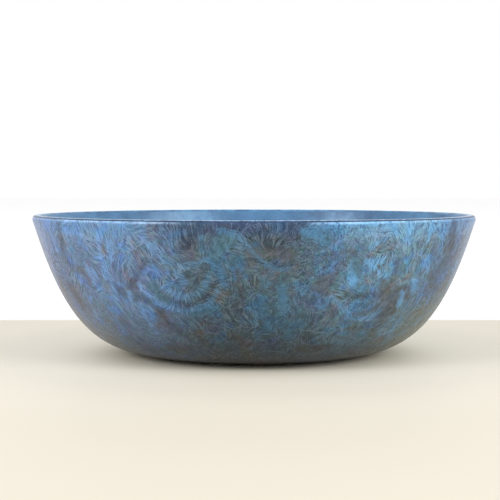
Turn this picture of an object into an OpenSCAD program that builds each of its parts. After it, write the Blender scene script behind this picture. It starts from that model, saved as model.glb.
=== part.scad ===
// Open bowl turned from one piece of wood, with a separate coat of paint on each of its faces.
// The bowl stands on the XY plane with its axis along Z. Every piece is a profile in the (radius, height)
// half-plane, turned about Z, and neighbouring profiles share the same points, so the coats fit the wood.

/* [Bowl] */
// Radius of the rim over the paint, as if the outer edge of the lip were sharp
rim_radius = 115.3; // [105:0.1:125]
// Height of the rim
bowl_height = 72; // [64:1:80]
// Lean of the wall at the rim, in degrees from the vertical
rim_flare = 16.5; // [10:0.5:22]
// How far the wall follows its direction at the rim before it curves in
rim_pull = 40.5; // [34:0.5:46]

/* [Heel] */
// Radius where the curved wall ends, over the paint
heel_radius = 60; // [56:0.5:64]
// Height of the heel above the ground
heel_height = 1.5; // [1:0.1:3]
// Rise of the wall at the heel, in degrees from the horizontal
heel_rise = 4.8; // [3:0.2:8]
// How far the wall follows its direction at the heel before it curves up
heel_pull = 30.6; // [26:0.2:34]

/* [Wall] */
// Thickness at the rim, with both coats
rim_wall = 4.8; // [4:0.1:7]
// Thickness at the heel, with both coats
heel_wall = 8.5; // [7:0.1:11]

/* [Lip] */
// Radius of the outer edge of the lip
lip_outer_round = 2; // [1:0.1:2.2]
// How far up that edge the paint of the outside reaches, in degrees from the horizontal
paint_reach = 38; // [20:1:50]
// Radius of the inner edge of the lip
lip_inner_round = 1.5; // [0.8:0.1:1.6]

/* [Foot] */
// Outer radius of the ring that the bowl stands on
foot_radius = 50; // [44:0.5:52]
// Width of the standing face
foot_width = 6; // [4:0.5:9]
// Depth of the recess inside the ring
recess_depth = 2.5; // [1.5:0.1:3]
// Undercut of the recess wall, in degrees
recess_undercut = 8; // [2:1:12]
// Height of the bare wood below the paint on the outside of the ring
bare_edge = 0.4; // [0.3:0.1:0.6]

/* [Coats of paint] */
// Thickness on the outside
outer_paint = 0.4; // [0.3:0.05:0.6]
// Thickness on the lip, the inside and the underside
thin_paint = 0.25; // [0.2:0.05:0.3]

/* [Hidden] */
$fn = 128;

wall_steps = 28;
floor_steps = 6;
round_steps = 5;
edge_steps = 4;

// The wall's outer face is one cubic Bezier curve from the rim, t = 0, to the heel, t = 1.
rim_point = [rim_radius, bowl_height];
rim_handle = rim_point - rim_pull * [sin(rim_flare), cos(rim_flare)];
heel_point = [heel_radius, heel_height];
heel_handle = heel_point + heel_pull * [cos(heel_rise), sin(heel_rise)];

// The rounds of the lip touch the wall at these distances down from the sharp corners. The inner corner
// lies square across the wall from a point lower down the outer face, because the wall leans.
outer_reach = lip_outer_round * (1 + sin(rim_flare)) / cos(rim_flare);
inner_reach = lip_inner_round * (1 - sin(rim_flare)) / cos(rim_flare);
rim_speed = 3 * rim_pull;
outer_start = outer_reach / rim_speed;
inner_start = (rim_wall * tan(rim_flare) + inner_reach) / rim_speed;

// Radii of the foot: where its side meets the underside, and the inner edge of the standing face.
foot_root_radius = foot_radius + heel_height;
standing_inner_radius = foot_radius - foot_width;
recess_radius = standing_inner_radius + recess_depth * tan(recess_undercut);

// A point of the outer face, and the way that the face runs there.
function outer_face(t) =
    pow(1 - t, 3) * rim_point + 3 * pow(1 - t, 2) * t * rim_handle
    + 3 * (1 - t) * t * t * heel_handle + pow(t, 3) * heel_point;
function outer_slope(t) =
    pow(1 - t, 2) * (rim_handle - rim_point) + 2 * (1 - t) * t * (heel_handle - rim_handle)
    + t * t * (heel_point - heel_handle);

// The point that lies a given depth into the wall, square to the outer face.
function into_wall(t, depth) =
    let (along = outer_slope(t) / norm(outer_slope(t)))
    outer_face(t) + depth * [along[1], -along[0]];

// The wall thickens smoothly from the rim to the heel.
function thickness(t) = rim_wall + (heel_wall - rim_wall) * t * t * (3 - 2 * t);

// Lines down the wall, from one t to the other: at a depth below the outer face, and at a depth below
// the inner face.
function outer_line(depth, from, to) =
    [for (i = [0:wall_steps]) into_wall(from + (to - from) * i / wall_steps, depth)];
function inner_line(depth, from, to) =
    [for (i = [0:wall_steps])
        let (t = from + (to - from) * i / wall_steps)
        into_wall(t, thickness(t) - depth)];

// The floor runs from the end of the inner face to the axis, where it is level.
function floor_line(depth) =
    let (edge = into_wall(1, thickness(1) - depth), bend = tan(heel_rise) / (2 * edge[0]))
    [for (i = [1:floor_steps])
        let (r = edge[0] * (1 - i / floor_steps))
        [r, edge[1] - bend * (edge[0] * edge[0] - r * r)]];

// The point at an angle on a round of the given radius about a centre.
function round_point(centre, radius, angle) = centre + radius * [cos(angle), sin(angle)];

// The outer edge of the lip is painted with the outside up to paint_reach, and with the lip above it.
outer_round_centre = [rim_radius - outer_reach, bowl_height - lip_outer_round];
inner_round_centre = [rim_radius - rim_wall / cos(rim_flare) + inner_reach, bowl_height - lip_inner_round];
edge_turn = paint_reach + rim_flare;
outer_turn = 90 - paint_reach;
inner_turn = 90 - rim_flare;

// The painted outside at a depth below the paint, from the lip's outer edge down to the heel.
function outside_line(depth) = concat(
    [for (i = [0:edge_steps - 1])
        round_point(outer_round_centre, lip_outer_round - depth, paint_reach - edge_turn * i / edge_steps)],
    outer_line(depth, outer_start, 1));

// The line over the lip at a depth below the paint, from its outer edge to near the end of the inner round.
function lip_line(depth) = concat(
    [for (i = [0:round_steps])
        round_point(outer_round_centre, lip_outer_round - depth, paint_reach + outer_turn * i / round_steps)],
    [for (i = [0:round_steps - 1])
        round_point(inner_round_centre, lip_inner_round - depth, 90 + inner_turn * i / round_steps)]);

// The underside of the painted wood, from the heel down the side of the foot to the bare edge.
function underside_line(depth) = [
    [foot_root_radius - depth, heel_height + depth],
    [foot_radius + bare_edge - depth, bare_edge]];

function reversed(points) = [for (i = [len(points) - 1:-1:0]) points[i]];

// A coat fills the space between two lines that run the same way.
module coat(face, back) {
    rotate_extrude() polygon(concat(face, reversed(back)));
}

module bowl_body() {
    color("burlywood")
    rotate_extrude()
    polygon(concat(
        lip_line(thin_paint),
        inner_line(thin_paint, inner_start, 1),
        floor_line(thin_paint),
        [
            [0, recess_depth],
            [recess_radius, recess_depth],
            [standing_inner_radius, 0],
            [foot_radius - thin_paint, 0]
        ],
        reversed(underside_line(thin_paint)),
        reversed(outside_line(outer_paint))));
}

module outer_coat() {
    color("cadetblue") coat(outside_line(0), outside_line(outer_paint));
}

module lip_coat() {
    color("midnightblue")
    coat(
        concat(lip_line(0), [into_wall(inner_start, thickness(inner_start))]),
        concat(lip_line(thin_paint), [into_wall(inner_start, thickness(inner_start) - thin_paint)]));
}

module inner_coat() {
    color("steelblue")
    coat(
        concat(inner_line(0, inner_start, 1), floor_line(0)),
        concat(inner_line(thin_paint, inner_start, 1), floor_line(thin_paint)));
}

module foot_coat() {
    color("black")
    coat(
        concat([outer_face(1)], underside_line(0)),
        concat([into_wall(1, outer_paint)], underside_line(thin_paint)));
}

bowl_body();
outer_coat();
lip_coat();
inner_coat();
foot_coat();
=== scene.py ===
"""An open turned bowl: blue feather-patterned paint outside, cloudy blue paint inside.

Every piece is its CAD node's own section, smoothed into a curve and turned again in fine steps. The
patterns are procedural. On the outside, numpy lays out fields of strokes, brush marks and rings, and
shader nodes draw the paint from them. Lengths in the pattern code are in millimetres.
"""

import math
import random
from collections import namedtuple

import bpy
import numpy as np
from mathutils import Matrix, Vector, noise


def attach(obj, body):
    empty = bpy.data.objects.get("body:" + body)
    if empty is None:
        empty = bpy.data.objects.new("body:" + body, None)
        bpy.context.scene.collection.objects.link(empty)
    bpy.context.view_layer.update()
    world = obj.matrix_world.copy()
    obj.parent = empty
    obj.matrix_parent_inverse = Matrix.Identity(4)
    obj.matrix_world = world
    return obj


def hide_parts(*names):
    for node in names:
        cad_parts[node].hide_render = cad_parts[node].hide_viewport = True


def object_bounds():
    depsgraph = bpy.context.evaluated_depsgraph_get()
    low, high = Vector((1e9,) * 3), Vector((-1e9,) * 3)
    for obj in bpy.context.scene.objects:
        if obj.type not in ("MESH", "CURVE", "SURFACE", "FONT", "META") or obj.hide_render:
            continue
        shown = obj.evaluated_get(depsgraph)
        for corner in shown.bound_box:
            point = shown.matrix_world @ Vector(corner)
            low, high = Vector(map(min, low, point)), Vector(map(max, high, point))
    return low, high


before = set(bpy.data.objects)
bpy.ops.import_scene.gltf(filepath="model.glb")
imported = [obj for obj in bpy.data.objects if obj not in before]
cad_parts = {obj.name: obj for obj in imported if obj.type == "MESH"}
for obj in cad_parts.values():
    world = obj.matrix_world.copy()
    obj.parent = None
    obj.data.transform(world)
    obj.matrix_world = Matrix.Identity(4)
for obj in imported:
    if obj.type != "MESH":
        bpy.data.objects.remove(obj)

MM = 0.001
TINY = 1e-6
low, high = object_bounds()


# ---------------------------------------------------------------- camera

# Fitted to the photograph. Distances are in metres, and the lens and the sensor in mm.
CAMERA_DISTANCE = 0.6747
CAMERA_HEIGHT = 0.0892
CAMERA_SIDE = -0.00205
CAMERA_PITCH = math.radians(3.06)
LENS = 92.6
SENSOR_WIDTH = 36.0


def make_camera():
    data = bpy.data.cameras.new("camera")
    data.lens = LENS
    data.sensor_width = SENSOR_WIDTH
    data.clip_start, data.clip_end = 0.05, 50.0
    camera = bpy.data.objects.new("camera", data)
    bpy.context.scene.collection.objects.link(camera)
    camera.location = (CAMERA_SIDE, -CAMERA_DISTANCE, CAMERA_HEIGHT)
    camera.rotation_euler = (math.pi / 2 - CAMERA_PITCH, 0, 0)
    bpy.context.scene.camera = camera


make_camera()


# ---------------------------------------------------------------- sections of the CAD nodes

# An outline has a corner where it turns by more than this.
CORNER = math.radians(25)
# A smoothed curve turns by at most this between two points.
MOST_TURN = math.radians(9)


def outline(node):
    """The node's outline in the (radius, height) half-plane, in mm, as points in order.

    The CAD faces all have their seam in the XZ plane, so the mesh has edges along the outline there.
    The outline is a closed loop, or an open line if it starts and ends on the axis. A flat disc has no
    point at its centre, so that one is added.
    """
    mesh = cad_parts[node].data
    places = [(round(v.co.x / MM, 3), round(v.co.z / MM, 3)) for v in mesh.vertices]
    on_seam = [abs(v.co.y) < TINY and v.co.x > -TINY for v in mesh.vertices]
    links = {}
    for edge in mesh.edges:
        a, b = edge.vertices
        if on_seam[a] and on_seam[b] and places[a] != places[b]:
            links.setdefault(places[a], set()).add(places[b])
            links.setdefault(places[b], set()).add(places[a])
    ends = sorted(place for place in links if len(links[place]) == 1)
    path = [ends[0] if ends else max(links)]
    while len(path) < len(links):
        path.append(min(place for place in links[path[-1]] if place not in path))
    if ends and path[-1][0] > 0:
        path.append((0.0, path[-1][1]))
    return np.array(path), not ends


def turn_angles(points, closed):
    """How sharply the outline turns at each point, in radians. The ends of an open line count as corners."""
    before, after = points - np.roll(points, 1, 0), np.roll(points, -1, 0) - points
    heading = np.arctan2(after[:, 1], after[:, 0]) - np.arctan2(before[:, 1], before[:, 0])
    turns = np.abs((heading + math.pi) % (2 * math.pi) - math.pi)
    if not closed:
        turns[[0, -1]] = math.pi
    return turns


def smooth_run(points, spacing):
    """Points on a smooth curve through the run's points, without its last one.

    They lie the given spacing apart, or closer where the run bends.
    """
    along = np.r_[0, np.cumsum(np.hypot(*np.diff(points, axis=0).T))]
    if len(points) == 2:
        steps = max(1, round(along[-1] / spacing))
        return points[0] + (points[1] - points[0]) * np.linspace(0, 1, steps, endpoint=False)[:, None]
    slopes = np.gradient(points, along, axis=0)
    bend = turn_angles(points, False)
    bend[[0, -1]] = bend[[1, -2]]
    gap = np.minimum(spacing, MOST_TURN * np.gradient(along) / np.maximum(bend, TINY))
    pace = np.r_[0, np.cumsum(np.diff(along) * (1 / gap[1:] + 1 / gap[:-1]) / 2)]
    wanted = np.interp(np.linspace(0, pace[-1], math.ceil(pace[-1]), endpoint=False), pace, along)
    left = np.clip(np.searchsorted(along, wanted, "right") - 1, 0, len(points) - 2)
    width = (along[left + 1] - along[left])[:, None]
    t = ((wanted - along[left]) / width[:, 0])[:, None]
    return (
        (1 + 2 * t) * (1 - t) ** 2 * points[left]
        + t * (1 - t) ** 2 * width * slopes[left]
        + t * t * (3 - 2 * t) * points[left + 1]
        - t * t * (1 - t) * width * slopes[left + 1]
    )


def anticlockwise(section, shown):
    """The section and its marks in the order that turns into faces that look outwards."""
    radius, level = section.T
    if np.sum(radius * np.roll(level, -1) - np.roll(radius, -1) * level) < 0:
        return section[::-1].copy(), shown[::-1].copy()
    return section, shown


def smooth_section(node, fine, coarse, side):
    """The node's outline resampled run by run between its corners, and which of its points show.

    side is "outer" or "inner" for the one run that shows, or "all". Points lie about fine mm apart where
    the piece shows, and coarse mm apart elsewhere.
    """
    points, closed = outline(node)
    corners = np.flatnonzero(turn_angles(points, closed) > CORNER)
    loop = np.roll(points, -corners[0], 0) if closed else points
    corners = corners - corners[0]
    stops = list(corners) + ([len(loop)] if closed else [])
    loop = np.vstack([loop, loop[:1]]) if closed else loop
    runs = [loop[a:b + 1] for a, b in zip(stops, stops[1:])]
    lengths = [np.hypot(*np.diff(run, axis=0).T).sum() for run in runs]
    long_runs = [k for k in range(len(runs)) if lengths[k] > max(lengths) / 2]
    reach = [runs[k][:, 0].max() for k in long_runs]
    showing = {
        "outer": {long_runs[int(np.argmax(reach))]},
        "inner": {long_runs[int(np.argmin(reach))]},
        "all": set(range(len(runs))),
    }[side]
    pieces, shown = [], []
    for k, run in enumerate(runs):
        piece = smooth_run(run, fine if k in showing else coarse)
        pieces.append(piece)
        shown.append(np.full(len(piece), k in showing))
    if not closed:
        pieces.append(loop[-1:])
        shown.append(shown[-1][-1:])
    return *anticlockwise(np.vstack(pieces), np.concatenate(shown)), closed


# ---------------------------------------------------------------- turning a section into a mesh

# A section point nearer to the axis than this, in mm, lies on it.
AXIS_RADIUS = 1e-3
# An edge that bends by more than this is drawn sharp.
SHARP_ANGLE = math.radians(40)
# Steps round the axis, for the outer coat and for the plain pieces.
OUTER_COLUMNS = 720
PLAIN_COLUMNS = 360


def turned_points(section, columns):
    """The azimuths in degrees from the front, and the section's points turned to each of them, in mm."""
    azimuth = np.linspace(-180, 180, columns, endpoint=False)
    turn = np.radians(azimuth)
    radius, level = section[:, :1], section[:, 1:]
    return azimuth, np.stack([radius * np.sin(turn), -radius * np.cos(turn), level + 0 * turn], 2)


def turned_mesh(name, section, closed, columns):
    """A closed mesh turned from a section in mm. A point on the axis becomes one vertex."""
    rings = turned_points(section, columns)[1] * MM
    vertices, first = [], []
    for ring, on_axis in zip(rings, section[:, 0] < AXIS_RADIUS):
        first.append(sum(len(v) for v in vertices))
        vertices.append(ring[:1] if on_axis else ring)
    here = np.arange(columns)
    onward = (here + 1) % columns
    faces = []
    for i in range(len(section) if closed else len(section) - 1):
        j = (i + 1) % len(section)
        if len(vertices[i]) == 1:
            band = np.c_[np.full(columns, first[i]), first[j] + onward, first[j] + here]
        elif len(vertices[j]) == 1:
            band = np.c_[first[i] + here, first[i] + onward, np.full(columns, first[j])]
        else:
            band = np.c_[first[i] + here, first[i] + onward, first[j] + onward, first[j] + here]
        faces.extend(band.tolist())
    mesh = bpy.data.meshes.new(name)
    mesh.from_pydata(np.vstack(vertices).tolist(), [], faces)
    mesh.update()
    mesh.shade_smooth()
    mesh.set_sharp_from_angle(angle=SHARP_ANGLE)
    return mesh


def add_piece(name, mesh, node, material):
    piece = bpy.data.objects.new(name, mesh)
    bpy.context.scene.collection.objects.link(piece)
    mesh.materials.append(material)
    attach(piece, "root")
    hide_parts(node)


# ---------------------------------------------------------------- shader node helpers

def srgb(red, green, blue):
    """A linear colour from 8-bit sRGB values."""
    def linear(value):
        value /= 255
        return value / 12.92 if value <= 0.04045 else ((value + 0.055) / 1.055) ** 2.4
    return (linear(red), linear(green), linear(blue), 1.0)


BLACK = srgb(0, 0, 0)
WHITE = srgb(255, 255, 255)


class Graph:
    """Adds nodes to a new material, with short calls for sums, noises and mixes."""

    def __init__(self, name):
        self.material = bpy.data.materials.new(name)
        self.material.use_nodes = True
        self.tree = self.material.node_tree
        self.shader = self.tree.nodes["Principled BSDF"]

    def node(self, kind, **settings):
        made = self.tree.nodes.new("ShaderNode" + kind)
        for key, value in settings.items():
            setattr(made, key, value)
        return made

    def feed(self, socket, value):
        if isinstance(value, bpy.types.NodeSocket):
            self.tree.links.new(value, socket)
        else:
            socket.default_value = value

    def math(self, operation, a, b=0.0, clamp=False):
        made = self.node("Math", operation=operation, use_clamp=clamp)
        for socket, value in zip(made.inputs, (a, b)):
            self.feed(socket, value)
        return made.outputs[0]

    def plus(self, a, b):
        return self.math("ADD", a, b)

    def minus(self, a, b):
        return self.math("SUBTRACT", a, b)

    def times(self, a, b, clamp=False):
        return self.math("MULTIPLY", a, b, clamp)

    def vector(self, operation, a, b=(0, 0, 0)):
        made = self.node("VectorMath", operation=operation)
        for socket, value in zip(made.inputs, (a, b)):
            self.feed(socket, value)
        one_number = operation in ("LENGTH", "DOT_PRODUCT", "DISTANCE")
        return made.outputs["Value" if one_number else "Vector"]

    def scaled(self, vector, factor):
        made = self.node("VectorMath", operation="SCALE")
        self.feed(made.inputs[0], vector)
        self.feed(made.inputs["Scale"], factor)
        return made.outputs["Vector"]

    def combine(self, x, y, z=0.0):
        made = self.node("CombineXYZ")
        for socket, value in zip(made.inputs, (x, y, z)):
            self.feed(socket, value)
        return made.outputs[0]

    def separate(self, vector):
        made = self.node("SeparateXYZ")
        self.feed(made.inputs[0], vector)
        return made.outputs

    def attribute(self, name):
        return self.node("Attribute", attribute_name=name).outputs["Vector"]

    def noise(self, vector, scale, detail=2.0, rough=0.5, colour=False):
        """A noise from 0 to 1, as a number or as a colour. For places in mm its grain is 1 / scale mm."""
        made = self.node("TexNoise")
        self.feed(made.inputs["Vector"], vector)
        made.inputs["Scale"].default_value = scale
        made.inputs["Detail"].default_value = detail
        made.inputs["Roughness"].default_value = rough
        return made.outputs["Color" if colour else "Fac"]

    def step(self, value, start, end):
        """0 where value is below start, 1 above end, and smooth between. start may be above end."""
        made = self.node("MapRange", interpolation_type="SMOOTHSTEP")
        flip = start > end
        self.feed(made.inputs["Value"], value)
        made.inputs["From Min"].default_value = min(start, end)
        made.inputs["From Max"].default_value = max(start, end)
        made.inputs["To Min"].default_value = 1.0 if flip else 0.0
        made.inputs["To Max"].default_value = 0.0 if flip else 1.0
        return made.outputs[0]

    def mix(self, factor, a, b, blend="MIX"):
        made = self.node("Mix", data_type="RGBA", blend_type=blend)
        self.feed(made.inputs["Factor"], factor)
        self.feed(made.inputs[6], a)
        self.feed(made.inputs[7], b)
        return made.outputs[2]

    def tinted(self, factor, colour, tint):
        """The colour multiplied by a tint, as far as the factor says."""
        return self.mix(factor, colour, tint, "MULTIPLY")

    def brightened(self, factor, colour, light):
        """The colour with another one added, as far as the factor says."""
        return self.mix(factor, colour, light, "ADD")

    def blend(self, factor, a, b):
        """A number that goes from a to b as the factor goes from 0 to 1."""
        made = self.node("Mix", data_type="FLOAT")
        self.feed(made.inputs[0], factor)
        self.feed(made.inputs[2], a)
        self.feed(made.inputs[3], b)
        return made.outputs[0]

    def blend_vectors(self, factor, a, b):
        made = self.node("Mix", data_type="VECTOR")
        self.feed(made.inputs[0], factor)
        self.feed(made.inputs[4], a)
        self.feed(made.inputs[5], b)
        return made.outputs[1]

    def bump(self, height, distance, strength):
        """A normal tilted by a height. The distance is in metres."""
        made = self.node("Bump")
        made.inputs["Strength"].default_value = strength
        made.inputs["Distance"].default_value = distance
        self.feed(made.inputs["Height"], height)
        return made.outputs[0]

    def place_mm(self):
        """The point's place on the bowl, in mm."""
        return self.scaled(self.node("TexCoord").outputs["Object"], 1 / MM)

    def finish(self, colour, roughness, normal, **constants):
        """The material. Each constant's name is its socket's, with _ for each space."""
        self.feed(self.shader.inputs["Base Color"], colour)
        self.feed(self.shader.inputs["Roughness"], roughness)
        if normal is not None:
            self.feed(self.shader.inputs["Normal"], normal)
        for name, value in constants.items():
            self.shader.inputs[name.replace("_", " ")].default_value = value
        return self.material


# ---------------------------------------------------------------- the outside: strokes, marks and rings

# Fields of fine strokes. Each has its azimuth from the front in degrees, its distance down the wall from
# the rim in mm, the way its strokes run in degrees from the level, how far off they fan out from in mm,
# how worm-like they are, and how strong they are.
FIELDS = [
    # Feathers on the left, with the barbs of each lying beside the next.
    (-61, 9, 98, 40, 0, 0.5), (-55, 11, 103, 40, 0, 0.8), (-47, 7, 95, 12, 0.1, 0.6),
    (-43, 9, 140, 14, 0, 0.7), (-42, 16, 142, 30, 0, 0.6), (-34, 6, 95, 14, 0.2, 0.6),
    (-30, 10, 124, 34, 0, 0.9), (-28, 17, 128, 30, 0, 0.8), (-21, 12, 130, 24, 0, 0.7),
    (-16, 9, 92, 14, 0, 0.9), (-12, 9, 95, 24, 0.1, 0.5), (-16, 18, 160, 20, 0.2, 0.5),
    (-25, 22, 140, 24, 0.1, 0.7), (-45, 32, 145, 16, 0.2, 0.5), (-37, 31, 112, 28, 0.1, 0.5),
    (-38, 42, 108, 24, 0.1, 0.7), (-48, 45, 90, 14, 0.4, 0.5), (-30, 45, 125, 34, 0.1, 0.6),
    # A ruffled swirl.
    (-16, 28, 200, 9, 0.1, 0.6), (-17, 40, -90, 10, 0, 1), (-22, 38, -120, 11, 0, 0.8),
    (-12, 38, -60, 11, 0, 0.8), (-10, 26, 180, 20, 0, 0.6), (-22, 51, 120, 20, 0.3, 0.6),
    # A dark bush of branches below the rim, and the bands under it.
    (0, 9, 130, 10, 0, 1), (3, 7, 90, 12, 0, 1), (6, 8, 55, 14, 0, 1), (10, 5, 60, 10, 0.3, 0.8),
    (4, 17, 15, 24, 0.1, 0.9), (0, 19, 170, 22, 0, 0.6), (6, 29, 10, 20, 0.1, 0.5),
    (-5, 39, 62, 18, 0.3, 0.8), (-5, 48, 128, 22, 0, 0.8), (-3, 60, 60, 18, 0.2, 0.7),
    # A patch of worm-like lines.
    (10, 14, 60, 9, 0.7, 0.8), (14, 10, 70, 9, 0.8, 0.6), (15, 20, 90, 8, 0.9, 0.7),
    (15, 27, 80, 8, 0.9, 0.8), (21, 9, 80, 11, 0.4, 0.8), (38, 22, 90, 12, 0.5, 0.7),
    # Feathers on the right.
    (22, 32, 150, 16, 0.1, 0.8), (29, 10, 58, 14, 0.1, 0.9), (36, 11, 128, 20, 0, 0.9),
    (39, 6, 85, 16, 0.1, 0.7), (46, 10, 72, 18, 0.2, 0.9), (45, 26, 80, 22, 0.1, 0.6),
    (52, 30, 76, 30, 0, 0.4), (58, 15, 74, 30, 0, 0.4), (29, 41, 70, 8, 0.8, 0.9),
    (37, 48, 42, 18, 0.1, 0.8), (22, 45, 130, 20, 0.2, 0.5), (16, 60, 75, 14, 0.2, 0.8),
    (25, 62, 95, 14, 0.2, 0.7),
]

# Brush marks: lines of azimuth in degrees, distance down the wall in mm and half width in mm.
SKY_MARKS = [
    [(-39, 5, 0.6), (-40, 16, 0.8), (-40, 28, 1.8)], [(-39, 30, 0.6), (-39, 39, 0.8)],
    [(-32, 42, 0.6), (-30, 60, 0.8)], [(-46, 25, 1), (-44, 28, 1.4)], [(-60, 4, 1), (-60, 16, 1.2)],
    [(-53, 6, 0.8), (-45, 8, 0.8)], [(-52, 50, 1.4), (-54, 54, 1)], [(-24, 11, 0.8), (-22, 15, 1)],
    [(-34, 36, 1.2), (-34, 39, 1.2)], [(-12, 8, 0.6), (-12, 14, 0.6)], [(-19, 70, 0.8), (-14, 77, 0.6)],
    [(-30, 32, 0.6), (-26, 41, 1), (-19, 45, 0.8), (-12, 41, 0.8), (-8, 30, 0.6)],
    [(-23, 33, 0.6), (-19, 37, 0.8), (-14, 36, 0.8), (-11, 28, 0.6)],
    [(-25, 12, 0.6), (-22, 19, 1), (-16, 22, 0.8), (-11, 18, 0.6)],
    [(-8, 4, 0.6), (-3, 7, 1), (-1, 14, 0.5), (3, 21, 0.6), (7, 23, 0.4)], [(0, 44, 0.6), (1, 62, 0.8)],
    [(4, 50, 0.8), (5, 55, 1.2)], [(10, 30, 1), (12, 35, 0.8)], [(13, 3, 1.5), (24, 1, 1), (34, 1, 0.8)],
    [(38, 3, 1.2), (39, 9, 1.2)], [(46, 3, 1), (46, 10, 0.8)], [(11, 5, 1.6), (15, 8, 1.8)],
    [(52, 2, 0.8), (53, 17, 0.8)], [(28, 13, 0.6), (32, 9, 0.6)], [(28, 20, 1.4), (32, 20, 1.6)],
    [(29, 22, 0.6), (35, 28, 0.6)], [(23, 22, 0.8), (25, 31, 1)],
    [(20, 37, 0.6), (23, 42, 1), (28, 50, 0.6)], [(28, 50, 0.6), (34, 50, 0.5), (36, 46, 0.4)],
    [(45, 31, 1.2), (47, 37, 1.2)], [(48, 19, 0.8), (50, 26, 1)], [(42, 37, 1), (43, 43, 1.4)],
    [(57, 40, 0.8), (58, 45, 0.8)], [(44, 61, 0.8), (47, 60, 1)], [(-36, 11, 1.2), (-37, 19, 1.6)],
    [(33, 3, 1.4), (34.5, 6, 1.4)], [(7, 38, 2), (8, 45, 2)], [(-47, 24, 1.2), (-46, 31, 1.4)],
    [(-19, 25, 1), (-17, 29, 1)],
]
POOL_MARKS = [
    [(-4, 9, 2.6), (-7, 9, 4.2), (-9, 15, 3.4), (-9, 22, 2.4), (-7, 31, 1.4)], [(-4, 18, 2.4)],
    [(2, 27, 2), (3, 30, 1.6)], [(7, 33, 2.4), (7, 41, 4), (6, 46, 2.4)], [(1, 38, 2), (2, 46, 3)],
    [(-11, 42, 2.6), (-16, 46, 2)], [(-26, 33, 2.2), (-24, 40, 2.2)], [(12, 45, 3), (12, 51, 3)],
    [(25, 20, 2.8), (25, 27, 3.2), (28, 33, 1.8)], [(12, 6, 3), (16, 8, 3)], [(8, 51, 3), (10, 58, 3)],
    [(4, 49, 2), (3, 54, 2)],
]
UMBER_MARKS = [
    [(-54, 25, 2), (-49, 26, 2.4)], [(-60, 36, 3), (-58, 45, 2.8)], [(-4, 23, 1.2), (-4, 30, 1.6)],
    [(-1, 15, 2.5), (8, 16, 3)], [(34, 31, 2.6), (36, 37, 3.4), (38, 42, 2)], [(53, 30, 2), (57, 23, 2)],
    [(36, 36, 3), (41, 37, 4), (46, 37, 3)], [(28, 56, 1.2), (32, 56, 1.2)],
    [(-28, 70, 2.2), (-18, 69, 2.2)], [(-26, 47, 2.2)], [(-16, 58, 1.6), (-15, 65, 1.6)],
    [(-6, 58, 2), (-3, 64, 2)], [(14, 69, 2.2), (24, 68, 2.2)], [(23, 16, 1.6)], [(37, 58, 1.8)],
    [(35, 45, 3), (40, 52, 3)], [(27, 51, 2.6)], [(-1, 20, 2)], [(15, 32, 2), (19, 27, 2)],
    [(37, 21, 2), (38, 28, 2.4)], [(38, 32, 2), (41, 46, 2.6)],
]
SHADE_MARKS = [
    [(-15, 5, 3.8), (-15, 11, 4.2)], [(0, 7, 3.6), (4, 9, 5.2), (9, 5, 3.6)],
    [(-25, 35, 0.6), (-22, 40, 1.2), (-16, 42, 1.4), (-11, 36, 1), (-9, 25, 0.6)],
    [(-12, 25, 0.6), (-14, 31, 0.6), (-18, 34, 0.4)], [(-2, 13, 0.8), (3, 21, 1), (7, 21, 0.8)],
    [(-4, 33, 1.2), (-3, 38, 1.6), (-4, 44, 1.4)], [(-24, 2, 1.5), (-8, 3, 3), (-2, 2, 3), (12, 1, 2)],
    [(-54, 4, 2), (-56, 22, 2)], [(24, 36, 1.6), (32, 38, 2)], [(39, 45, 1.8), (38, 51, 1.8)],
    [(15, 59, 1.6), (20, 68, 1.6)], [(-28, 38, 0.6), (-22, 58, 1.6)], [(57, 3, 1.4), (58, 10, 1.8)],
    [(41, 34, 1.2), (42, 46, 2.4)], [(-26, 18, 0.8), (-33, 33, 1.2)], [(-38, 36, 2.5), (-29, 38, 2.5)],
    [(56, 4, 2.5), (58, 14, 3)],
]
# Agate-like rings: azimuth in degrees, distance down the wall and size of the outermost ring in mm.
RINGS = [(4.5, 28.5, 8.5), (-3.5, 20, 6), (27, 25, 7)]

# The marks above leave the sides and the back free, from this azimuth on.
SIDE_AZIMUTH = 62.0
# Random marks there: how many, and the limits of their distance down the wall, of the steps between their
# points and of their half width in mm, and of the way they run in degrees.
SKY_RANDOM = (70, (2, 90), (2, 6), (0.6, 1.8), (50, 140))
POOL_RANDOM = (26, (2, 90), (4, 8), (1.5, 4.5), (0, 180))
UMBER_RANDOM = (30, (2, 90), (2, 6), (1, 3), (0, 180))
SHADE_RANDOM = (26, (2, 60), (2, 5), (0.6, 2.4), (0, 180))
# Random rings: how many, and the limits of their azimuth, distance down the wall and size.
RING_COUNT = 9
RING_LIMITS = ((SIDE_AZIMUTH, 300), (10, 70), (6, 12))

# The seed of the random fields, marks and rings.
SEED = 11
# Random fields lie about this far apart in mm, and their first row this far down the wall.
FIELD_SPACING = 11.0
FIRST_FIELD_DROP = 4.0
# About the length of a degree of azimuth on the wall.
MM_PER_DEGREE = 1.8
# The depth inside a mark where none is near, in mm.
FAR_OUTSIDE = -50.0
# How many faces are compared with the fields at once, to save memory.
BATCH = 20000

WallLine = namedtuple("WallLine", "radius level drop")


def wall_line(section, shown):
    """The outside's own line from the rim down, with each point's distance down the wall, in mm."""
    face = section[shown]
    face = face[np.argsort(-face[:, 1])]
    start = high.z / MM - face[0, 1]
    drop = start + np.r_[0, np.cumsum(np.hypot(*np.diff(face, axis=0).T))]
    return WallLine(face[:, 0], face[:, 1], drop)


def on_wall(line, azimuth, drop):
    """The place in mm at an azimuth in degrees and a distance down the wall in mm."""
    radius, level = np.interp(drop, line.drop, line.radius), np.interp(drop, line.drop, line.level)
    turn = math.radians(azimuth)
    return np.array([radius * math.sin(turn), -radius * math.cos(turn), level])


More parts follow.
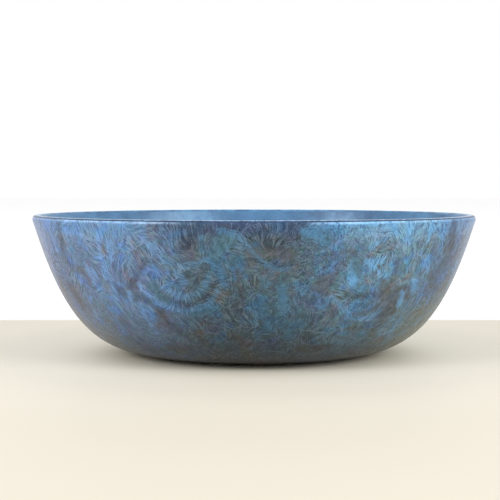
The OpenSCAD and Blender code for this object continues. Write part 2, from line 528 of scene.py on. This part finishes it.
def random_look(rng, azimuth, drop):
    """A random field's look, as in FIELDS. The way its strokes run drifts slowly over the wall."""
    lean = 90 + 50 * math.sin(azimuth / 23 + drop / 17) + rng.uniform(-30, 30)
    return lean, rng.uniform(9, 30), rng.random() ** 2, rng.uniform(0.4, 1.0)


def all_fields(line, rng):
    """The listed stroke fields, and random ones wherever those leave room."""
    fields = list(FIELDS)
    places = [on_wall(line, field[0], field[1]) for field in fields]
    drop = FIRST_FIELD_DROP
    while drop < line.drop[-1]:
        around = 2 * math.pi * np.interp(drop, line.drop, line.radius)
        count = round(around / FIELD_SPACING)
        for k in range(count):
            azimuth = (k + rng.uniform(0.1, 0.9)) * 360 / count - 180
            down = min(drop + rng.uniform(-0.35, 0.35) * FIELD_SPACING, line.drop[-1])
            look = random_look(rng, azimuth, down)
            place = on_wall(line, azimuth, down)
            if min(np.linalg.norm(place - other) for other in places) > 0.7 * FIELD_SPACING:
                fields.append((azimuth, down, *look))
                places.append(place)
        drop += 0.8 * FIELD_SPACING
    return fields, np.array(places)


def random_marks(rng, count, drops, steps, widths, lean):
    """Random brush marks for the sides and the back."""
    marks = []
    for _ in range(count):
        azimuth = rng.uniform(SIDE_AZIMUTH, 360 - SIDE_AZIMUTH)
        drop = rng.uniform(*drops)
        heading = math.radians(rng.uniform(*lean))
        width = rng.uniform(*widths)
        mark = []
        for _ in range(rng.randint(2, 4)):
            mark.append((azimuth, drop, width * rng.uniform(0.6, 1.1)))
            step = rng.uniform(*steps)
            azimuth += math.cos(heading) * step / MM_PER_DEGREE
            drop += math.sin(heading) * step
            heading += rng.uniform(-0.5, 0.5)
        marks.append(mark)
    return marks


def random_rings(rng):
    return [tuple(rng.uniform(*limits) for limits in RING_LIMITS) for _ in range(RING_COUNT)]


def inside_marks(marks, azimuth, drop, radius, shift):
    """How far inside the nearest brush mark each point is, in mm; negative outside."""
    best = np.full(azimuth.shape, FAR_OUTSIDE)
    for mark in marks:
        for (a0, d0, w0), (a1, d1, w1) in zip(mark, mark[1:] or mark):
            across = np.radians((azimuth - a0 + 180) % 360 - 180) * radius + shift[..., 0]
            down = drop - d0 + shift[..., 1]
            run, fall = np.radians(a1 - a0) * radius, d1 - d0
            t = np.clip((across * run + down * fall) / np.maximum(run ** 2 + fall ** 2, 1e-9), 0, 1)
            away = np.hypot(across - t * run, down - t * fall)
            best = np.maximum(best, w0 + (w1 - w0) * t - away)
    return best


def wobble(places, scale, amount, seed):
    """A smooth random vector in mm at each place, varying over the given scale in mm.

    Blender seeds this noise from the clock, so it is another one in each run.
    """
    offset = Vector((seed, 2.3 * seed, -1.7 * seed))
    return amount * np.array([noise.noise_vector(Vector(p) / scale + offset) for p in places])


def set_vectors(mesh, name, domain, values):
    attribute = mesh.attributes.new(name, "FLOAT_VECTOR", domain)
    attribute.data.foreach_set("vector", np.ascontiguousarray(values, np.float32).ravel())


def set_patch_attributes(mesh, azimuth, drop, places, rng):
    """Stores how deep each point lies inside the marks of each brush and inside the rings."""
    flat = places.reshape(-1, 3)
    radius = np.hypot(places[..., 0], places[..., 1])
    shift = wobble(flat, scale=5.0, amount=1.6, seed=5.0).reshape(places.shape)

    def depth(marks, bend=1.0):
        return inside_marks(marks, azimuth, drop, radius, bend * shift)

    sky = SKY_MARKS + random_marks(rng, *SKY_RANDOM)
    pool = POOL_MARKS + random_marks(rng, *POOL_RANDOM)
    umber = UMBER_MARKS + random_marks(rng, *UMBER_RANDOM)
    shade = SHADE_MARKS + random_marks(rng, *SHADE_RANDOM)
    rings = [[ring] for ring in RINGS + random_rings(rng)]
    first = [depth(sky, bend=0.5), depth(pool), depth(umber)]
    second = [depth(shade), depth(rings, bend=2.4), drop]
    set_vectors(mesh, "patches_1", "POINT", np.stack(first, -1).reshape(-1, 3))
    set_vectors(mesh, "patches_2", "POINT", np.stack(second, -1).reshape(-1, 3))


def set_field_attributes(mesh, line, drifted, rng):
    """Stores each face's two nearest stroke fields, so that the material can draw the edge between them."""
    fields, sites = all_fields(line, rng)
    table = np.array(fields)
    lean, reach = np.radians(table[:, 2]), table[:, 3]
    fans = np.c_[-reach * np.cos(lean), -reach * np.sin(lean), reach]
    looks = np.c_[table[:, 4], table[:, 5], [rng.random() for _ in fields]]
    below, beside = np.roll(drifted, -1, 0), np.roll(drifted, -1, 1)
    centres = (drifted + below + beside + np.roll(below, -1, 1)).reshape(-1, 3) / 4
    nearest = np.zeros((len(centres), 2), int)
    for start in range(0, len(centres), BATCH):
        part = slice(start, start + BATCH)
        apart = np.linalg.norm(centres[part, None] - sites[None], axis=2)
        nearest[part] = np.argsort(apart, axis=1)[:, :2]
    for name, values in (("site", sites), ("fan", fans), ("look", looks)):
        set_vectors(mesh, name + "_a", "FACE", values[nearest[:, 0]])
        set_vectors(mesh, name + "_b", "FACE", values[nearest[:, 1]])


def set_outer_attributes(mesh, section, shown):
    rng = random.Random(SEED)
    line = wall_line(section, shown)
    around, places = turned_points(section, OUTER_COLUMNS)
    azimuth = around + np.zeros((len(section), 1))
    drop = np.interp(-section[:, 1:], -line.level, line.drop) + np.zeros(OUTER_COLUMNS)
    flat = places.reshape(-1, 3)
    drift = wobble(flat, scale=8.0, amount=2.6, seed=3.0) + wobble(flat, scale=3.0, amount=0.6, seed=8.0)
    set_vectors(mesh, "drift", "POINT", drift)
    set_patch_attributes(mesh, azimuth, drop, places, rng)
    set_field_attributes(mesh, line, places + drift.reshape(places.shape), rng)


# ---------------------------------------------------------------- the paint outside

# Colours on the left, in the middle and on the right.
BASE = srgb(98, 126, 158), srgb(70, 92, 106), srgb(94, 126, 146)
BLUE = srgb(84, 136, 202), srgb(52, 99, 134), srgb(78, 142, 195)
GREY = srgb(112, 114, 126), srgb(86, 88, 84), srgb(108, 112, 112)
DARK = srgb(52, 62, 92), srgb(32, 38, 46), srgb(48, 60, 74)
BRIGHT = srgb(106, 150, 206), srgb(72, 116, 150), srgb(102, 164, 214)


def nearest_field(g, drifted):
    """The nearest field's site, fan and look, and how much nearer it is than the next one."""
    to_a = g.vector("DISTANCE", drifted, g.attribute("site_a"))
    to_b = g.vector("DISTANCE", drifted, g.attribute("site_b"))
    use_b = g.math("LESS_THAN", to_b, to_a)
    site, fan, look = (
        g.blend_vectors(use_b, g.attribute(name + "_a"), g.attribute(name + "_b"))
        for name in ("site", "fan", "look"))
    return site, fan, look, g.math("ABSOLUTE", g.minus(to_a, to_b))


def combed_strokes(g, ray, site, reach):
    """Strokes that fan out from a field's origin and branch into more of them beyond its site."""
    away, heading = g.vector("LENGTH", ray), g.vector("NORMALIZE", ray)
    seed = g.scaled(site, 0.731)

    def strokes(density, length):
        turn = g.scaled(heading, g.times(reach, density))
        along = g.combine(0.0, 0.0, g.times(away, length))
        return g.noise(g.vector("ADD", g.vector("ADD", turn, seed), along), 1.0, 0.5, 0.5)

    branch = g.step(g.math("DIVIDE", away, reach), 0.9, 1.4)
    return g.blend(branch, strokes(1.55, 0.22), strokes(2.3, 0.24))


def worm_lines(g, place, jitter):
    """Short winding lines, drawn where a noise passes its middle value."""
    height = g.noise(g.vector("ADD", place, g.scaled(jitter, 1.6)), 0.9, 1.0, 0.4)
    return g.minus(0.62, g.times(g.math("ABSOLUTE", g.minus(height, 0.5)), 2.2))


def stroke_value(g, place):
    """The fine strokes as numbers around 0, dark below and pale above, and how strong they are."""
    drifted = g.vector("ADD", place, g.attribute("drift"))
    site, fan, look, border = nearest_field(g, drifted)
    fan_x, fan_y, reach = g.separate(fan)
    worm, strength, ribbed = g.separate(look)
    normal = g.node("NewGeometry").outputs["Normal"]
    right = g.vector("NORMALIZE", g.vector("CROSS_PRODUCT", (0, 0, 1), normal))
    up = g.vector("CROSS_PRODUCT", normal, right)
    jitter = g.vector("SUBTRACT", g.noise(place, 0.45, 1.0, colour=True), (0.5, 0.5, 0.5))
    offset = g.vector("SUBTRACT", g.vector("ADD", drifted, g.scaled(jitter, 0.8)), site)
    ray = g.combine(
        g.minus(g.vector("DOT_PRODUCT", offset, right), fan_x),
        g.minus(g.vector("DOT_PRODUCT", offset, up), fan_y))
    value = g.blend(g.times(worm, 0.9), combed_strokes(g, ray, site, reach), worm_lines(g, place, jitter))
    grain = g.minus(g.noise(place, 1.5, 1.0, 0.6), 0.5)
    value = g.plus(g.times(g.minus(value, 0.5), 4.0), g.times(grain, 1.6))
    rib = g.times(g.step(border, 0.6, 0.25), g.step(ribbed, 0.45, 0.55))
    return g.blend(g.times(rib, 0.6), value, 0.9), strength


class OuterPaint(Graph):
    """The paint outside. It knows where a point is on the wall and what the strokes and marks do there."""

    def __init__(self, name):
        super().__init__(name)
        self.place = self.place_mm()
        x, y = self.separate(self.place)[:2]
        self.side = self.math("DIVIDE", x, self.vector("LENGTH", self.combine(x, y)))
        self.left = self.step(self.side, -0.2, -0.55)
        self.right = self.step(self.side, 0.1, 0.5)
        self.cloud = self.noise(self.place, 0.055, 2.0)
        self.fleck = self.noise(self.place, 0.33, 2.0, 0.5)
        self.value, self.strength = stroke_value(self, self.place)
        self.read_marks()
        self.add_bands()

    def by_side(self, left_colour, middle_colour, right_colour):
        return self.mix(self.right, self.mix(self.left, middle_colour, left_colour), right_colour)

    def read_marks(self):
        """How much of each brush's marks shows. Their edges are broken up by the strokes and by noise."""
        sky_in, self.pool_in, umber_in = self.separate(self.attribute("patches_1"))
        shade_in, self.ring_in, self.drop = self.separate(self.attribute("patches_2"))
        edge = self.minus(self.noise(self.place, 0.45, 2.0, 0.6), 0.5)

        def cover(depth, start, end, rough):
            broken = self.plus(depth, self.times(self.value, 0.6))
            return self.step(self.plus(broken, self.times(edge, rough)), start, end)

        self.sky = cover(sky_in, -1.8, 0.9, 3.0)
        self.pool = cover(self.pool_in, -2.6, 1.8, 5.0)
        self.umber = cover(umber_in, -2.0, 1.2, 4.0)
        self.shade = cover(shade_in, -2.0, 1.2, 3.0)
        self.ringed = self.step(self.ring_in, -1.0, 2.5)

    def add_bands(self):
        """Draws thin bands that follow the pools' outlines and the rings, over the strokes."""
        near_pool = self.times(self.step(self.pool_in, -5.0, -1.0), self.step(self.pool_in, 1.5, -0.5))
        pool_bands = self.math("SINE", self.plus(self.times(self.pool_in, 4.4), self.times(self.fleck, 6.0)))
        ring_bands = self.math("SINE", self.plus(self.times(self.ring_in, 4.0), self.times(self.fleck, 5.0)))
        self.value = self.blend(self.times(near_pool, 0.35), self.value, pool_bands)
        self.value = self.blend(self.times(self.ringed, 0.5), self.value, ring_bands)

    def ground(self):
        """The colour under the strokes: patches of blue and grey, a violet cloud, and a painted sheen near
        the rim on both sides.
        """
        patch = self.noise(self.vector("ADD", self.place, (40, 0, 0)), 0.1, 3.0, 0.65)
        tinge = self.noise(self.vector("ADD", self.place, (0, 70, 0)), 0.3, 2.0, 0.6)
        base = self.by_side(*BASE)
        colour = self.mix(self.times(self.step(patch, 0.5, 0.66), 0.75), base, self.by_side(*BLUE))
        colour = self.mix(self.times(self.step(patch, 0.46, 0.32), 0.85), colour, self.by_side(*GREY))
        colour = self.mix(self.times(self.step(self.cloud, 0.5, 0.62), 0.3), colour, srgb(80, 92, 134))
        violet = self.tinted(1.0, colour, srgb(255, 244, 255))
        teal = self.tinted(1.0, colour, srgb(242, 255, 248))
        colour = self.mix(self.step(tinge, 0.4, 0.6), violet, teal)
        # Painted sheen: the upper wall is paler near the rim on the left, and more so on the right.
        rim_sheen_strength = self.plus(self.times(self.left, 0.25), self.times(self.right, 0.4))
        rim_sheen = self.times(self.step(self.drop, 15.0, 4.0), rim_sheen_strength)
        return self.mix(rim_sheen, colour, self.by_side(srgb(126, 172, 214), base, srgb(134, 184, 220)))

    def with_marks(self, colour):
        """Lays the shade, umber and pool marks over the ground, and mottles it all."""
        pool_colour = self.mix(self.step(self.cloud, 0.4, 0.6), self.by_side(*BLUE), srgb(64, 104, 120))
        colour = self.mix(self.times(self.shade, 0.5), colour, srgb(42, 46, 58))
        colour = self.mix(self.times(self.umber, 0.55), colour, srgb(76, 74, 70))
        colour = self.mix(self.times(self.pool, 0.7), colour, pool_colour)
        mottle = self.noise(self.vector("ADD", self.place, (0, 0, 90)), 0.42, 1.0, 0.5)
        dim, lit = self.blend(self.left, 0.8, 0.95), self.blend(self.left, 1.14, 1.03)
        return self.scaled(colour, self.blend(self.step(mottle, 0.38, 0.6), dim, lit))

    def with_strokes(self, colour):
        """Lays the sky marks and the strokes on top. Pools, rings and umber have weaker strokes."""
        quiet = self.math("MAXIMUM", self.math("MAXIMUM", self.pool, self.ringed), self.umber)
        calm = self.minus(1.0, self.times(quiet, 0.5))
        uneven = self.blend(self.step(self.fleck, 0.35, 0.6), 0.8, 1.15)
        amount = self.times(self.times(calm, self.math("SQRT", self.strength)), uneven)
        dark_line = self.times(self.step(self.value, -0.05, -0.45), amount, clamp=True)
        pale_line = self.times(self.step(self.value, 0.15, 0.55), amount, clamp=True)
        colour = self.mix(self.times(self.sky, 0.6), colour, self.by_side(*BRIGHT))
        darker = self.mix(0.3, self.tinted(1.0, colour, srgb(140, 156, 168)), self.by_side(*DARK))
        paler = self.brightened(1.0, colour, srgb(84, 92, 98))
        colour = self.mix(self.times(dark_line, 0.62), colour, darker)
        return self.mix(self.times(pale_line, 0.6), colour, paler)

    def with_rim(self, colour):
        """Paints a highlight along the rim on both sides, broken up like rubbed paint, and makes the paint
        bluer just below.
        """
        # Painted highlight along the rim's edge on the left and right, partly worn paint, broken up by
        # noise.
        off_middle = self.math("ABSOLUTE", self.plus(self.side, 0.04))
        rim_highlight_and_wear = self.times(self.step(self.drop, 2.2, 1.2), self.step(off_middle, 0.2, 0.35))
        rim_highlight_and_wear = self.times(rim_highlight_and_wear, self.step(self.fleck, 0.3, 0.55))
        colour = self.mix(rim_highlight_and_wear, colour, self.brightened(1.0, colour, srgb(110, 124, 140)))
        top = self.step(self.drop, 9.0, 5.0)
        return self.brightened(top, self.tinted(top, colour, srgb(240, 253, 255)), srgb(0, 10, 48))

    def with_painted_side_shade(self, colour):
        """Paints shade over the paint towards the two sides."""
        beside = self.math("MAXIMUM", self.step(self.side, -0.72, -0.96), self.step(self.side, 0.66, 0.88))
        return self.tinted(beside, colour, self.by_side(srgb(214, 210, 229), WHITE, srgb(184, 196, 219)))

    def with_painted_low_shade(self, colour):
        """Paints shade that makes the paint greyer and darker towards the foot, and a painted warm
        reflection of the table low on both sides.
        """
        beside = self.step(self.math("ABSOLUTE", self.side), 0.6, 0.9)
        flank_reflection = self.times(beside, self.step(self.drop, 24.0, 58.0))
        low_shade_tint = srgb(178, 174, 170)
        table_reflection_tint = self.by_side(srgb(216, 202, 180), low_shade_tint, srgb(237, 217, 172))
        # Painted shade: greyer and darker down the wall, with a warm painted reflection in its place on the
        # low flanks.
        colour = self.tinted(self.step(self.drop, 22.0, 76.0), colour, self.mix(flank_reflection, low_shade_tint, table_reflection_tint))
        # Painted shade, deeper still near the foot where it meets the table.
        colour = self.tinted(self.step(self.drop, 62.0, 80.0), colour, srgb(200, 200, 204))
        colour = self.tinted(self.step(self.drop, 79.0, 86.0), colour, srgb(190, 190, 196))
        # Painted reflection of the warm table, added on the low flanks.
        return self.brightened(flank_reflection, colour, self.by_side(srgb(50, 46, 26), BLACK, srgb(58, 56, 36)))


def outer_material():
    paint = OuterPaint("feathered_blue_paint")
    colour = paint.with_strokes(paint.with_marks(paint.ground()))
    colour = paint.with_painted_low_shade(paint.with_painted_side_shade(paint.with_rim(colour)))
    relief = paint.bump(paint.value, 0.00003, 0.6)
    roughness = paint.blend(paint.step(paint.value, -0.5, 0.5), 0.5, 0.4)
    return paint.finish(colour, roughness, relief, Metallic=0.0, Specular_IOR_Level=0.2, Coat_Weight=0.4,
                        Coat_Roughness=0.18, Coat_IOR=1.35)


def make_outer_coat():
    section, shown, closed = smooth_section("outer_coat", 1.0, 6.0, "outer")
    mesh = turned_mesh("outer_coat_paint", section, closed, OUTER_COLUMNS)
    set_outer_attributes(mesh, section, shown)
    add_piece("outer_coat_paint", mesh, "outer_coat", outer_material())


# ---------------------------------------------------------------- the other coats and the wood

def lip_material():
    g = Graph("indigo_paint")
    place = g.place_mm()
    x, y = g.separate(place)[:2]
    normal = g.node("NewGeometry").outputs["Normal"]
    outward = g.vector("DOT_PRODUCT", normal, g.vector("NORMALIZE", g.combine(x, y)))
    cloud = g.noise(place, 0.12, 3.0, 0.6)
    chips = g.times(g.minus(g.noise(place, 0.6, 3.0, 0.6), 0.5), 0.3)
    paint = g.mix(g.step(cloud, 0.35, 0.65), srgb(14, 44, 78), srgb(30, 68, 106))
    inside = g.mix(g.step(cloud, 0.35, 0.65), srgb(62, 102, 140), srgb(84, 134, 172))
    # Pale blues for a painted highlight on the lip's up-facing crown, partly worn paint.
    crown_highlight_and_wear = g.mix(g.step(cloud, 0.4, 0.6), srgb(144, 174, 204), srgb(168, 200, 228))
    colour = g.mix(g.step(outward, 0.2, -0.3), paint, inside)
    # The crown is where the lip faces up; chips break the highlight's edge like worn paint.
    crown = g.plus(g.separate(normal)[2], chips)
    colour = g.mix(g.step(crown, 0.9, 1.0), colour, crown_highlight_and_wear)
    relief = g.bump(g.noise(place, 0.8, 2.0), 0.00003, 0.5)
    return g.finish(colour, g.blend(cloud, 0.35, 0.5), relief, Specular_IOR_Level=0.2, Coat_Weight=0.3,
                    Coat_Roughness=0.18)


# Soft pale clouds inside the bowl: place and size in mm.
PALE_CLOUDS = [((-38, 102, 58), 34), ((54, 94, 60), 20), ((2, -96, 50), 30), ((-70, -60, 40), 26)]


def inner_material():
    g = Graph("cloudy_blue_paint")
    place = g.place_mm()
    warp = g.vector("SUBTRACT", g.noise(place, 0.03, 2.0, colour=True), (0.5, 0.5, 0.5))
    bent = g.vector("ADD", place, g.scaled(warp, 30.0))
    cloud = g.noise(bent, 0.035, 4.0, 0.55)
    wisps = g.noise(bent, 0.16, 4.0, 0.6)
    colour = g.mix(g.step(cloud, 0.35, 0.65), srgb(56, 94, 130), srgb(80, 128, 166))
    for middle, size in PALE_CLOUDS:
        away = g.plus(g.vector("DISTANCE", place, middle), g.times(wisps, 20.0))
        colour = g.mix(g.times(g.step(away, size + 10.0, 10.0), 0.8), colour, srgb(116, 158, 192))
    colour = g.mix(g.times(g.step(wisps, 0.5, 0.72), 0.45), colour, srgb(78, 98, 146))
    fleck = g.noise(place, 2.2, 2.0)
    colour = g.mix(g.times(g.step(fleck, 0.5, 0.75), 0.2), colour, srgb(150, 186, 214))
    relief = g.bump(g.noise(place, 0.35, 2.0), 0.00005, 0.5)
    return g.finish(colour, g.blend(wisps, 0.42, 0.52), relief, Specular_IOR_Level=0.3, Coat_Weight=0.2,
                    Coat_Roughness=0.3)


def foot_material():
    g = Graph("black_paint")
    scuff = g.noise(g.place_mm(), 0.5, 4.0, 0.7)
    colour = g.mix(g.step(scuff, 0.5, 0.75), srgb(18, 18, 22), srgb(44, 42, 44))
    return g.finish(colour, g.blend(scuff, 0.55, 0.75), g.bump(scuff, 0.00004, 0.5))


def wood_material():
    """Wood whose growth rings lie round a pith that runs along X, beside and below the bowl."""
    g = Graph("turned_wood")
    place = g.place_mm()
    x, y, z = g.separate(place)
    bend = g.noise(g.vector("MULTIPLY", place, (0.3, 1.0, 1.0)), 0.02, 2.0)
    from_pith = g.vector("LENGTH", g.combine(0.0, g.plus(y, 24.0), g.plus(z, 60.0)))
    rings = g.plus(g.times(from_pith, 1.6), g.times(bend, 16.0))
    ring = g.math("FRACT", g.times(rings, 0.25))
    late = g.times(g.step(ring, 0.55, 0.95), g.step(ring, 1.0, 0.95))
    fibre = g.noise(g.vector("MULTIPLY", place, (0.12, 2.4, 2.4)), 1.0, 3.0, 0.6)
    pore = g.step(g.noise(g.vector("MULTIPLY", place, (0.25, 4.0, 4.0)), 1.0, 1.0), 0.62, 0.72)
    colour = g.mix(late, srgb(206, 170, 122), srgb(168, 122, 78))
    colour = g.mix(g.times(g.step(fibre, 0.4, 0.7), 0.35), colour, srgb(150, 108, 70))
    colour = g.mix(g.times(pore, 0.5), colour, srgb(96, 66, 42))
    tool_marks = g.math("SINE", g.times(g.vector("LENGTH", g.combine(x, y)), 6.0))
    height = g.plus(g.times(tool_marks, 0.25), g.times(pore, -1.0))
    return g.finish(colour, g.blend(fibre, 0.45, 0.6), g.bump(height, 0.00005, 0.6), Coat_Weight=0.15)


def make_plain_piece(node, name, material, fine, coarse, side):
    section, _, closed = smooth_section(node, fine, coarse, side)
    add_piece(name, turned_mesh(name, section, closed, PLAIN_COLUMNS), node, material)


# ---------------------------------------------------------------- floor and light

# All in metres, and the windows' power in watts.
FLOOR_HALF_WIDTH = 6.0
TABLE_BACK = 0.15
TABLE_EDGE_BLUR = 0.006
WINDOW_SIZE = 1.2
WINDOW_POWER = 30.0
WINDOW_TARGET = (0, 0, 0.02)


def floor_material():
    """A pale table top with painted light round the bowl, paler nearer to it, and a white floor behind it.
    """
    g = Graph("floor")
    place = g.node("TexCoord").outputs["Object"]
    x, y = g.separate(place)[:2]
    from_axis = g.vector("LENGTH", g.combine(x, y))
    table = g.mix(g.noise(place, 3.0, 2.0), srgb(214, 207, 191), srgb(220, 213, 198))
    # Painted light: the table is paler round the bowl, lifting the bowl's shadow.
    table = g.mix(g.step(from_axis, 0.24, 0.12), table, srgb(229, 222, 206))
    table = g.mix(g.step(from_axis, 0.145, 0.085), table, srgb(250, 243, 226))
    behind = g.step(y, TABLE_BACK - TABLE_EDGE_BLUR, TABLE_BACK + TABLE_EDGE_BLUR)
    return g.finish(g.mix(behind, table, srgb(250, 250, 250)), 0.6, None)


def make_floor():
    mesh = bpy.data.meshes.new("floor")
    signs = ((-1, -1), (1, -1), (1, 1), (-1, 1))
    corners = [(FLOOR_HALF_WIDTH * a, FLOOR_HALF_WIDTH * b, 0) for a, b in signs]
    mesh.from_pydata(corners, [], [(0, 1, 2, 3)])
    mesh.materials.append(floor_material())
    floor = bpy.data.objects.new("floor", mesh)
    bpy.context.scene.collection.objects.link(floor)


def add_window(name, place):
    """A round soft light that faces the bowl."""
    data = bpy.data.lights.new(name, "AREA")
    data.shape = "DISK"
    data.size = WINDOW_SIZE
    data.energy = WINDOW_POWER
    light = bpy.data.objects.new(name, data)
    light.location = place
    light.rotation_euler = (Vector(WINDOW_TARGET) - Vector(place)).to_track_quat("-Z", "Y").to_euler()
    bpy.context.scene.collection.objects.link(light)


def make_light():
    world = bpy.data.worlds.new("studio")
    world.use_nodes = True
    background = world.node_tree.nodes["Background"]
    background.inputs["Color"].default_value = (1.0, 1.0, 1.0, 1.0)
    background.inputs["Strength"].default_value = 1.0
    bpy.context.scene.world = world
    add_window("left_window", (-2.0, -1.5, 1.1))
    add_window("right_window", (2.0, -1.5, 1.1))
    bpy.context.scene.view_settings.view_transform = "Standard"


make_outer_coat()
make_plain_piece("lip_coat", "lip_coat_paint", lip_material(), 0.25, 0.25, "all")
make_plain_piece("inner_coat", "inner_coat_paint", inner_material(), 1.6, 6.0, "inner")
make_plain_piece("foot_coat", "foot_coat_paint", foot_material(), 0.5, 0.5, "all")
make_plain_piece("bowl_body", "bowl_body_wood", wood_material(), 2.0, 2.0, "all")
make_floor()
make_light()
